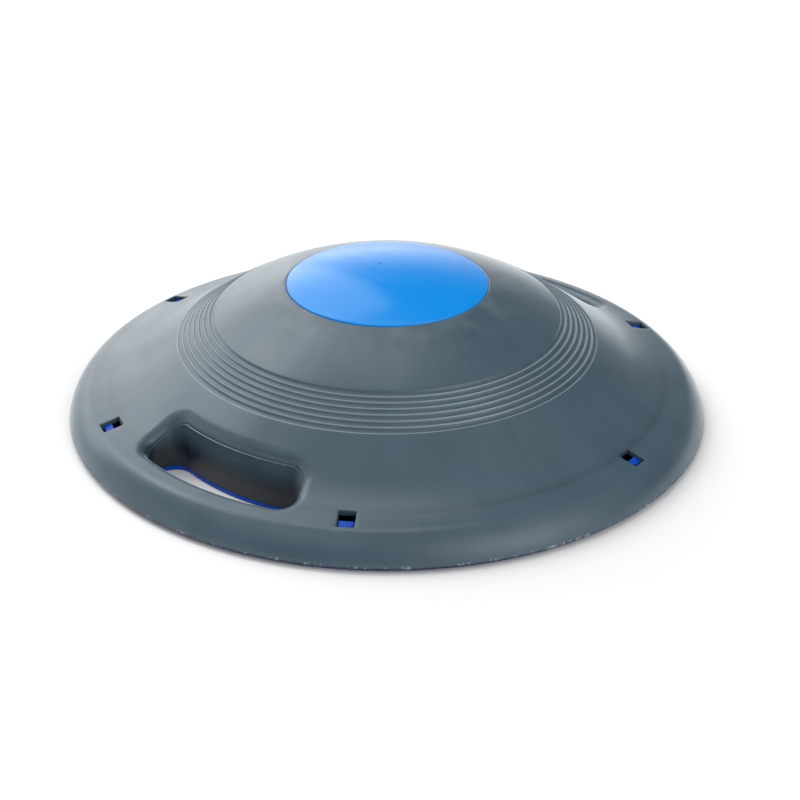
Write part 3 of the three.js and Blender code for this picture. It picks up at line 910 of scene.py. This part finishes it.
def slate_plastic():
    """Satin slate plastic: faint clouds and streaks from moulding, fine grain, painted highlights on the
    flute crests and the recess edge, painted shade on the slot walls, a slight sheen, and a dark line at
    the foot, partly grime and partly painted shade, with pale scuffs."""
    nodes = Nodes("slate_plastic")
    far = plan_distance(nodes)
    height = place_height(nodes)
    base = nodes.mix(nodes.spread(nodes.noise(0.05), 0.1, 0.9, 0, 1), SLATE_DARK, SLATE_LIGHT)
    base = nodes.mix(nodes.spread(streaks(nodes, STREAK_COUNT), 0.25, 0.85, 0, 0.8), base, SLATE_STREAK)

    scuffs = nodes.spread(nodes.noise(0.022, 2), 0.42, 0.8, 0, 0.9)
    by_pad = nodes.spread(far, SCUFFS_FULL, SCUFFS_GONE, 1, 0)
    base = nodes.mix(nodes.times(scuffs, by_pad), base, SLATE_SCUFF)
    # Painted highlight: the flute crests are tinted paler, as if lit.
    base = nodes.mix(nodes.spread(crests(nodes), 0.2, 1, 0, 0.6), base, SLATE_CREST_HIGHLIGHT)
    # Painted highlight: a pale line just outside the pad's recess edge.
    recess_edge = RECESS_RADIUS * MM
    recess_edge_highlight = nodes.spread(far, recess_edge + 0.0003, recess_edge + 0.001, 0.5, 0)
    base = nodes.mix(recess_edge_highlight, base, SLATE_RECESS_EDGE_HIGHLIGHT)

    # A dark line low on the foot: partly grime, partly painted shade where the foot stands over the deck.
    base = nodes.mix(nodes.spread(height, FOOT_GRIME_AND_SHADE_FULL, FOOT_GRIME_AND_SHADE_GONE, 0.75, 0), base, SLATE_GRIME_AND_SHADE)
    low_down = nodes.spread(height, FLECKS_FULL, FLECKS_GONE, 1, 0)
    flecks = nodes.spread(nodes.noise(0.0025, 1, (1, 1, 0.3)), 0.58, 0.66, 0, 0.45)
    base = nodes.mix(nodes.times(low_down, flecks), base, SLATE_FLECK)

    # Painted shade: the slot walls are darkened low down inside the slots.
    deep = nodes.spread(height, SHADE_FULL, SHADE_GONE, 1, 0)
    slot_reach = SLOT_OUTER_RADIUS * MM
    within = nodes.spread(far, slot_reach + 0.001, slot_reach + 0.002, 1, 0)
    base = nodes.mix(nodes.times(deep, within), base, SLOT_SHADE)

    nodes.link(base, nodes.shader.inputs["Base Color"])
    nodes.link(nodes.spread(nodes.noise(0.04), 0.1, 0.9, 0.24, 0.38), nodes.shader.inputs["Roughness"])
    nodes.shader.inputs["Specular IOR Level"].default_value = 0.5
    nodes.shader.inputs["Sheen Weight"].default_value = 0.8
    nodes.shader.inputs["Sheen Roughness"].default_value = 0.25
    nodes.shader.inputs["Sheen Tint"].default_value = (*SLATE_SHEEN, 1)
    nodes.bump([(nodes.noise(0.06, 0), 0.0003), (nodes.noise(0.0009, 2), 0.000012)])
    return nodes.material


def blue_plastic(name, dark, light, rough_low, rough_high, shine):
    """Smooth blue plastic with faint clouds, pale specks and wipe marks, and painted shade low on an edge
    as far out as the deck's."""
    nodes = Nodes(name)
    base = nodes.mix(nodes.spread(nodes.noise(0.05), 0.1, 0.9, 0, 1), dark, light)
    # Painted shade: the deck's edge is darkened low down, under the shell's foot.
    low_down = nodes.spread(place_height(nodes), DECK_EDGE_SHADE_FULL, DECK_EDGE_SHADE_GONE, 0.85, 0)
    rim = nodes.spread(plan_distance(nodes), DECK_EDGE_FROM, DECK_EDGE_FULL, 0, 1)
    base = nodes.mix(nodes.times(low_down, rim), base, BLUE_EDGE_SHADE)
    specks = nodes.spread(nodes.noise(0.0022, 1), 0.76, 0.8, 0, 0.5)
    nodes.link(nodes.mix(specks, base, BLUE_SPECK), nodes.shader.inputs["Base Color"])
    wipes = nodes.noise(0.006, 4, (1, 0.12, 1))
    nodes.link(nodes.spread(wipes, 0.3, 0.7, rough_low, rough_high), nodes.shader.inputs["Roughness"])
    nodes.shader.inputs["Specular IOR Level"].default_value = shine
    nodes.bump([(nodes.noise(0.04, 1), 0.0003), (wipes, 0.00002)])
    return nodes.material


def zinc_steel():
    """Zinc-plated steel with fine turning marks and uneven brightness."""
    nodes = Nodes("zinc_steel")
    nodes.shader.inputs["Metallic"].default_value = 1
    clouds = nodes.spread(nodes.noise(0.003, 4), 0.35, 0.65, 0, 1)
    nodes.link(nodes.mix(clouds, (0.58, 0.6, 0.62), (0.72, 0.73, 0.74)), nodes.shader.inputs["Base Color"])
    nodes.link(nodes.spread(nodes.noise(0.0006, 2, (1, 1, 6)), 0.3, 0.7, 0.22, 0.4),
               nodes.shader.inputs["Roughness"])
    nodes.bump([(nodes.noise(0.0005, 2, (1, 1, 6)), 0.00001)])
    return nodes.material


def finished(piece, name, material, slot, *replaced):
    """Names a piece, gives it its material and smooth shading, and ties it to the frame."""
    piece.name = name
    piece.data.name = name
    piece.data.materials.clear()
    piece.data.materials.append(material)
    piece.data.shade_smooth()
    piece.data.set_sharp_from_angle(angle=SHARP_ANGLE)
    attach(piece, "root")
    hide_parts(*replaced)
    return piece


# ---------------------------------------------------------------- stage


FLOOR_HALF = 12000.0
FLOOR_DROP = 0.3

CAMERA_TURN = math.radians(-52.8)
CAMERA_ELEVATION = math.radians(28.0235)
CAMERA_DISTANCE = 1.590413
CAMERA_PAN = math.radians(-0.41645)
CAMERA_TILT = math.radians(0.09553)
CAMERA_ROLL = math.radians(-0.31049)
CAMERA_LENS = 90.0
CAMERA_SENSOR = 36.0

# Bright patches of the surroundings: degrees to the right of where the camera looks, elevation, strength,
# and how tightly the patch is gathered
SKY_GLOW = 0.12
SKY_PATCHES = [
    (-90.0, 8.0, 0.9, 11.5),
    (-45.0, 8.0, 0.9, 11.5),
    (-5.0, 4.0, 1.9, 24.0),
    (135.0, 8.0, 1.5, 11.5),
    (135.0, 30.0, 2.1, 11.5),
    (-135.0, 55.0, 1.0, 11.5),
    (90.0, 55.0, 0.6, 11.5),
    (-12.0, 73.0, 2.4, 36.0),
    (-54.0, 50.0, 3.6, 32.0),
]

SOFTBOX_ANGLE = math.radians(-39.0)
SOFTBOX_ELEVATION = math.radians(33.0)
SOFTBOX_DISTANCE = 2.4
SOFTBOX_SIZE = 2.4
SOFTBOX_POWER = 30.0


def white_floor():
    """A plain near-white floor just under the standing face."""
    skin = Skin()
    corners = [(x, y, -FLOOR_DROP) for x, y in ((-FLOOR_HALF, -FLOOR_HALF), (FLOOR_HALF, -FLOOR_HALF),
                                                (FLOOR_HALF, FLOOR_HALF), (-FLOOR_HALF, FLOOR_HALF))]
    skin.faces.append(tuple(skin.add(corners)))
    floor = solid(skin)
    floor.name = "floor"
    nodes = Nodes("floor_white")
    clouds = nodes.spread(nodes.noise(0.8, 1), 0.3, 0.7, 0, 1)
    nodes.link(nodes.mix(clouds, (0.95, 0.95, 0.95), (0.97, 0.97, 0.97)), nodes.shader.inputs["Base Color"])
    nodes.shader.inputs["Roughness"].default_value = 0.9
    nodes.shader.inputs["Specular IOR Level"].default_value = 0.1
    floor.data.materials.append(nodes.material)


def plan_direction(angle, height=0.0):
    """A direction given by an angle to the right of where the camera looks, and a height."""
    heading = CAMERA_TURN + RIGHT_ANGLE - angle
    return Vector((math.cos(heading), math.sin(heading), height))


def camera():
    """A long lens 1.6 m away, looking down 28 degrees across the left hand slot."""
    spin = Matrix.Rotation(CAMERA_TURN, 3, "Z")
    back, rise = -math.cos(CAMERA_ELEVATION), math.sin(CAMERA_ELEVATION)
    place = spin @ Vector((0, CAMERA_DISTANCE * back, CAMERA_DISTANCE * rise))
    pan = Matrix.Rotation(CAMERA_PAN, 3, "Z")
    right = pan @ spin @ Vector((1, 0, 0))
    forward = pan @ -place.normalized()
    forward = Matrix.Rotation(CAMERA_TILT, 3, right) @ forward
    roll = Matrix.Rotation(CAMERA_ROLL, 3, forward)
    right, up = roll @ right, roll @ right.cross(forward)
    lens = bpy.data.cameras.new("camera")
    lens.lens = CAMERA_LENS
    lens.sensor_width = CAMERA_SENSOR
    eye = bpy.data.objects.new("camera", lens)
    eye.matrix_world = Matrix.Translation(place) @ Matrix((right, up, -forward)).transposed().to_4x4()
    bpy.context.scene.collection.objects.link(eye)
    bpy.context.scene.camera = eye


def softbox():
    """A big square softbox, high on the left, aimed at the dome."""
    way = plan_direction(SOFTBOX_ANGLE, math.tan(SOFTBOX_ELEVATION)).normalized()
    light = bpy.data.lights.new("softbox", "AREA")
    light.shape = "SQUARE"
    light.size = SOFTBOX_SIZE
    light.energy = SOFTBOX_POWER
    lamp = bpy.data.objects.new("softbox", light)
    lamp.location = way * SOFTBOX_DISTANCE
    lamp.rotation_euler = (-way).to_track_quat("-Z", "Y").to_euler()
    bpy.context.scene.collection.objects.link(lamp)


def sky():
    """Soft white surroundings: a dim even glow and a few broad bright patches."""
    world = bpy.data.worlds.new("surroundings")
    bpy.context.scene.world = world
    world.use_nodes = True
    tree = world.node_tree

    def math_node(operation, one, two):
        node = tree.nodes.new("ShaderNodeMath")
        node.operation = operation
        for socket, value in zip(node.inputs, (one, two)):
            if isinstance(value, float):
                socket.default_value = value
            else:
                tree.links.new(value, socket)
        return node.outputs["Value"]

    direction = tree.nodes.new("ShaderNodeTexCoord").outputs["Generated"]
    total = SKY_GLOW
    for angle, elevation, strength, focus in SKY_PATCHES:
        facing = tree.nodes.new("ShaderNodeVectorMath")
        facing.operation = "DOT_PRODUCT"
        flat = plan_direction(math.radians(angle)) * math.cos(math.radians(elevation))
        facing.inputs[1].default_value = (flat.x, flat.y, math.sin(math.radians(elevation)))
        tree.links.new(direction, facing.inputs[0])
        off_centre = math_node("SUBTRACT", facing.outputs["Value"], 1.0)
        glow = math_node("EXPONENT", math_node("MULTIPLY", off_centre, focus), 0.0)
        total = math_node("ADD", math_node("MULTIPLY", glow, strength), total)
    background = tree.nodes["Background"]
    tree.links.new(total, background.inputs["Strength"])
    background.inputs["Color"].default_value = (1, 1, 1, 1)


# ---------------------------------------------------------------- scene

camera()
slate = slate_plastic()
pad_blue = blue_plastic("pad_blue", (0.0, 0.25, 0.76), (0.0, 0.275, 0.82), 0.14, 0.24, 0.35)
deck_blue = blue_plastic("deck_blue", (0.0, 0.055, 0.42), (0.0, 0.07, 0.5), 0.3, 0.4, 0.2)
steel = zinc_steel()

finished(dome_shell(), "dome_shell_fine", slate, "dome_plastic", "dome_shell")
finished(standing_deck(), "standing_deck_fine", deck_blue, "deck_plastic", "standing_deck")
finished(apex_pad(), "apex_pad_fine", pad_blue, "pad_plastic", "apex_pad")
for number, angle in enumerate(SCREW_ANGLES, 1):
    finished(pad_screw(angle), f"pad_screw_{number}_fine", steel, "screw_steel", f"pad_screw_{number}")

white_floor()
sky()
softbox()
bpy.context.scene.view_settings.view_transform = "Standard"
